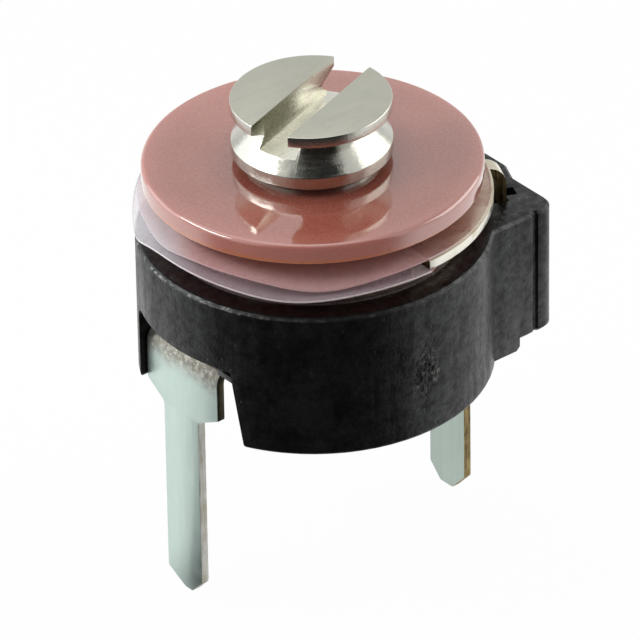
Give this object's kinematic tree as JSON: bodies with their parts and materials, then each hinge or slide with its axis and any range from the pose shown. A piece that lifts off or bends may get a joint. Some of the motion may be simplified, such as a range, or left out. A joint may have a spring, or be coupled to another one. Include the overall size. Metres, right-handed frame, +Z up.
{
  "type": "trimmer capacitor",
  "caption": "Round film dielectric trimmer capacitor with a slotted rotor spindle, stacked vanes and films in a moulded cup, and flat board pins.",
  "frame": {"origin": "centre of the housing's foot ring, on the plane where it sits on a circuit board", "axes": "+Z up along the rotor's spindle, +X towards the lug at the housing's side"},
  "size_m": [0.0112, 0.0102, 0.0151],
  "materials": {
    "black_moulding": "matt glass-filled moulding",
    "nickel": "turned and nickel plated",
    "red_plastic": "glossy, slightly translucent",
    "brass": "rolled sheet, thinly silvered",
    "tin_plate": "satin tin plate over brass",
    "clear_film": "milky translucent film"
  },
  "bodies": {
    "housing_body": {"housing": "black_moulding", "rotor_terminal": "tin_plate", "stator_terminal": "tin_plate", "stator_plate": "brass", "stator_vane_1": "brass", "stator_vane_2": "brass", "stator_vane_3": "brass", "stator_vane_4": "brass", "stator_spacers_1": "brass", "stator_spacers_2": "brass", "stator_spacers_3": "brass", "stator_spacers_4": "brass", "film_1": "clear_film", "film_2": "clear_film", "film_3": "clear_film", "film_4": "clear_film", "film_5": "clear_film", "film_6": "clear_film", "film_7": "clear_film", "film_8": "clear_film", "film_9": "clear_film"},
    "rotor_body": {"rotor_spindle": "nickel", "cover_disc": "red_plastic", "rotor_collar": "nickel", "rotor_spacer_1": "brass", "rotor_spacer_2": "brass", "rotor_spacer_3": "brass", "rotor_spacer_4": "brass", "rotor_vane_1": "brass", "rotor_vane_2": "brass", "rotor_vane_3": "brass", "rotor_vane_4": "brass", "contact_spring": "nickel", "retaining_washer": "nickel"}
  },
  "joints": [
    {"name": "rotor_turn", "type": "hinge", "parent": "housing_body", "child": "rotor_body", "pos_m": [0, 0, 0.004], "axis": [0, 0, 1], "continuous": true}
  ]
}
